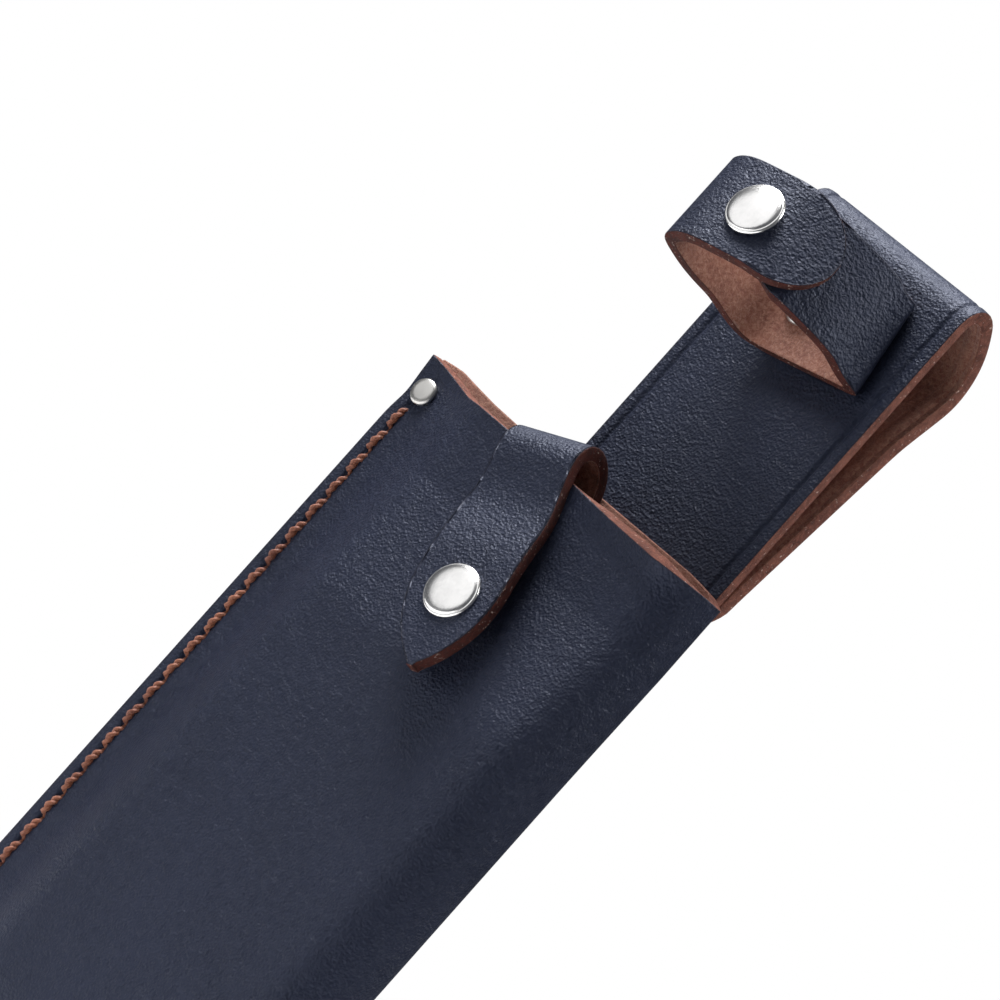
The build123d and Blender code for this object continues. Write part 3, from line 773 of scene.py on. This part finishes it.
def turned_piece(name, places, outline, finish, body, nodes, corner=0.12):
    """A piece spun from an outline of (radius, height) points, once at each place."""
    bm = bmesh.new()
    for place in places:
        before = set(bm.verts)
        verts = [bm.verts.new((radius, 0, height)) for radius, height in outline]
        edges = [bm.edges.new(pair) for pair in zip(verts, verts[1:])]
        bmesh.ops.spin(bm, geom=verts + edges, cent=(0, 0, 0), axis=(0, 0, 1), angle=2 * pi, steps=56,
                       use_merge=True)
        new = [vert for vert in bm.verts if vert not in before]
        bmesh.ops.remove_doubles(bm, verts=new, dist=0.001)
        new = [vert for vert in bm.verts if vert not in before]
        bmesh.ops.transform(bm, matrix=Matrix.Scale(mm, 4) @ place, verts=new)
    bmesh.ops.recalc_face_normals(bm, faces=bm.faces)
    piece = keep_mesh(bm, name, finish)
    rounding = piece.modifiers.new("rounded corners", "BEVEL")
    rounding.width = corner * mm
    rounding.segments = 2
    rounding.angle_limit = radians(40)
    rounding.use_clamp_overlap = False
    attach(piece, body)
    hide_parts(*nodes)
    return piece


def cap_outline():
    """A domed snap cap with a rolled rim and a tube that is rolled over behind the leather."""
    dome = []
    for i in range(11):
        angle = radians(90) * i / 10
        dome.append((4.55 * sin(angle), 0.62 + 0.72 * cos(angle) ** 1.1 if i < 10 else 0.62))
    rim = [(4.78, 0.6), (4.95, 0.42), (5.0, 0.2), (4.97, -0.05), (4.8, -0.22), (4.4, -0.28)]
    tube = [(1.6, -0.25), (1.6, -3.1), (2.2, -3.1), (2.2, -3.4), (0, -3.4)]
    return dome + rim + tube


snap_spot = guard_place(18.366, guard_point_len - guard_run - 2.5, 0)
guard_out = front * cos(guard_lean) + guard_up * sin(guard_lean)
guard_cap_place = place_of(snap_spot, guard_side, guard_out)
band_cap_place = place_of(band_place(band_snap_x, band_front, 0), band_x, band_out)
turned_piece("guard_snap_dome", [guard_cap_place], cap_outline(), nickel, "guard_flap",
             ["guard_snap_cap"], 0.05)
turned_piece("band_snap_dome", [band_cap_place], cap_outline(), nickel, "band_flap",
             ["band_snap_cap"], 0.05)


def rivet_pair(prefix, places, grip, head_r, head_h, pin_r, tube_r):
    """Two-piece rivets: tubular caps from the front and posts from behind."""
    tube = 0.7 * grip
    cap = [(0, head_h), (0.55 * head_r, head_h - 0.03), (head_r - 0.45, head_h - 0.1),
           (head_r - 0.12, head_h - 0.34), (head_r, head_h - 0.62), (head_r - 0.1, -0.15), (tube_r, -0.15),
           (tube_r, -tube), (pin_r + 0.02, -tube), (pin_r + 0.02, -0.1), (0, -0.1)]
    low = -grip - head_h
    post = [(0, low), (0.55 * head_r, low + 0.03), (head_r - 0.45, low + 0.1), (head_r - 0.12, low + 0.34),
            (head_r, low + 0.6), (head_r - 0.1, -grip + 0.15), (pin_r, -grip + 0.15), (pin_r, -0.12),
            (0, -0.12)]
    turned_piece(prefix + "_heads", places, cap, satin, "sheath", [prefix + "_caps"])
    turned_piece(prefix + "_bases", places, post, satin, "sheath", [prefix + "_posts"])


def guard_rivet_x(drop):
    return guard_snap_x - (guard_snap_drop - drop) * tan(guard_slant)


leg_pair = 2 * leather + 0.1
rivet_drops = (14.0, 26.5)
strap_places = [place_of(spot(12, leather, -drop), side, front) for drop in rivet_drops]
root_places = [place_of(spot(guard_rivet_x(drop), 2 * leather, -drop), side, front) for drop in rivet_drops]
band_places = [place_of(band_middle + base_x * x + front * leather, base_x, front) for x in (-3.2, 5.2)]
corner_places = [place_of(spot(corner_rivet[0], seam_n, -corner_rivet[1]), side, front)]
rivet_pair("strap_rivet", strap_places, leather + leg_pair, 3.2, 0.9, 1.2, 1.8)
rivet_pair("guard_rivet", root_places, 2 * leather + leg_pair, 3.2, 0.9, 1.2, 1.8)
rivet_pair("band_rivet", band_places, 2 * leather, 3.2, 0.9, 1.2, 1.8)
rivet_pair("corner_rivet", corner_places, seam_n, 2.5, 1.0, 1.0, 1.5)

for name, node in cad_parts.items():
    if "snap" in name:
        node.data.materials.clear()
        node.data.materials.append(brass if "spring" in name else nickel)

# ---- Floor, light and camera ---------------------------------------------------------------------

floor = bmesh.new()
bmesh.ops.create_circle(floor, cap_ends=True, segments=96, radius=0.38,
                        matrix=Matrix.Translation((0, 0, mouth_z * mm - 0.2075)))
pale = Finish("pale_floor", Roughness=0.9, Specular_IOR_Level=0.1)
pale.colour(pale.blend(pale.noise(6, 2), (0.86, 0.86, 0.86), (0.9, 0.9, 0.9)))
keep_mesh(floor, "floor", pale.material)

azimuth, elevation, roll = radians(37), radians(-2), radians(41.7)
back = Vector((sin(azimuth) * cos(elevation), -cos(azimuth) * cos(elevation), sin(elevation)))
level = Vector((cos(azimuth), sin(azimuth), 0))
upright = back.cross(level)
cam_right = upright * sin(roll) + level * cos(roll)
cam_up = upright * cos(roll) - level * sin(roll)
centre = (Vector((0, strap_y, -71.85)) - level * 20.2) * mm

camera_data = bpy.data.cameras.new("camera")
camera_data.lens = 156
camera_data.sensor_width = 36
camera = bpy.data.objects.new("camera", camera_data)
turned = Matrix((cam_right, cam_up, back)).transposed().to_4x4()
camera.matrix_world = Matrix.Translation(centre + back * 0.7) @ turned
bpy.context.scene.collection.objects.link(camera)
bpy.context.scene.camera = camera


def soft_light(name, place, size, energy):
    """A round softbox that faces the middle of the view."""
    lamp = bpy.data.lights.new(name, "AREA")
    lamp.shape = "DISK"
    lamp.size = size
    lamp.energy = energy
    box = bpy.data.objects.new(name, lamp)
    bpy.context.scene.collection.objects.link(box)
    box.location = centre + place
    box.rotation_mode = "QUATERNION"
    box.rotation_quaternion = place.to_track_quat("Z", "Y")


soft_light("top_softbox", Vector((-0.38, -0.16, 0.76)), 0.5, 19.0)
soft_light("front_card", Vector((-0.50, -0.80, 0.30)), 1.1, 2.9)
soft_light("loop_light", Vector((0.45, 0.25, 0.65)), 0.4, 6.0)

world = bpy.data.worlds.new("studio")
world.use_nodes = True
bpy.context.scene.world = world
nodes, links = world.node_tree.nodes, world.node_tree.links
surround = nodes["Background"]
surround.inputs["Color"].default_value = (0.9, 0.93, 1.0, 1)
surround.inputs["Strength"].default_value = 0.115
seen = nodes.new("ShaderNodeBackground")
seen.inputs["Color"].default_value = (1, 1, 1, 1)
seen.inputs["Strength"].default_value = 1.0
chooser = nodes.new("ShaderNodeMixShader")
links.new(nodes.new("ShaderNodeLightPath").outputs["Is Camera Ray"], chooser.inputs["Fac"])
links.new(surround.outputs["Background"], chooser.inputs[1])
links.new(seen.outputs["Background"], chooser.inputs[2])
links.new(chooser.outputs["Shader"], nodes["World Output"].inputs["Surface"])
bpy.context.scene.view_settings.view_transform = "Standard"
